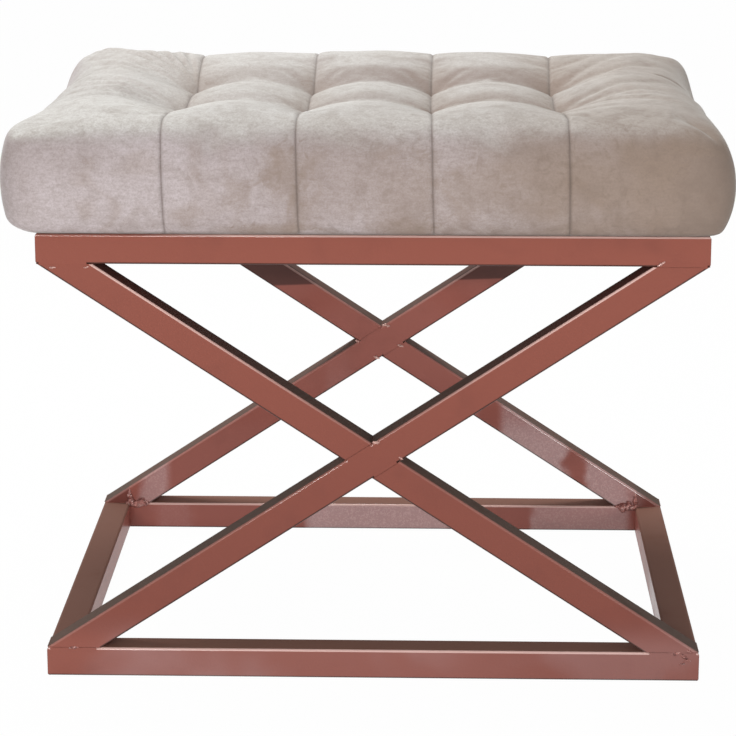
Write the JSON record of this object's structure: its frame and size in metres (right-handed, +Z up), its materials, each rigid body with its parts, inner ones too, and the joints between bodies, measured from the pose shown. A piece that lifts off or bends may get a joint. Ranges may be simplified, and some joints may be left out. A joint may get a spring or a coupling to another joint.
{
  "type": "x frame stool",
  "caption": "Upholstered stool: a tufted velvet cushion on a welded square-tube frame with crossed bars front and back, joined by rectangular rings under the seat and on the floor.",
  "frame": {"origin": "on the floor, under the middle of the stool", "axes": "+X along the long side, +Z up, -Y out of the front, where one crossed pair of bars stands"},
  "size_m": [0.5842, 0.4492, 0.4727],
  "materials": {
    "frame_paint": "satin metallic rose-copper paint, slightly orange-peeled, over welded steel tube",
    "velvet": "short-pile velvet, warm mink grey, brushed in soft patches",
    "seat_board": "raw plywood",
    "foam": "open-cell seat foam",
    "lining": "thin non-woven lining, black",
    "screw_zinc": "zinc-plated steel",
    "tie_twine": "waxed twine"
  },
  "bodies": {
    "root": {"base_front_rail": "frame_paint", "base_right_rail": "frame_paint", "base_back_rail": "frame_paint", "base_left_rail": "frame_paint", "top_front_rail": "frame_paint", "top_right_rail": "frame_paint", "top_back_rail": "frame_paint", "top_left_rail": "frame_paint", "front_cross_through": "frame_paint", "front_cross_upper_half": "frame_paint", "front_cross_lower_half": "frame_paint", "back_cross_through": "frame_paint", "back_cross_upper_half": "frame_paint", "back_cross_lower_half": "frame_paint", "seat_board": "seat_board", "foam_pad": "foam", "velvet_cover": "velvet", "seat_lining": "lining", "seat_screw_1": "screw_zinc", "seat_screw_2": "screw_zinc", "seat_screw_3": "screw_zinc", "seat_screw_4": "screw_zinc", "seat_screw_5": "screw_zinc", "seat_screw_6": "screw_zinc", "tuft_tie_1": "tie_twine", "tuft_tie_2": "tie_twine", "tuft_tie_3": "tie_twine", "tuft_tie_4": "tie_twine", "tuft_tie_5": "tie_twine", "tuft_tie_6": "tie_twine", "tuft_tie_7": "tie_twine", "tuft_tie_8": "tie_twine"}
  },
  "joints": []
}
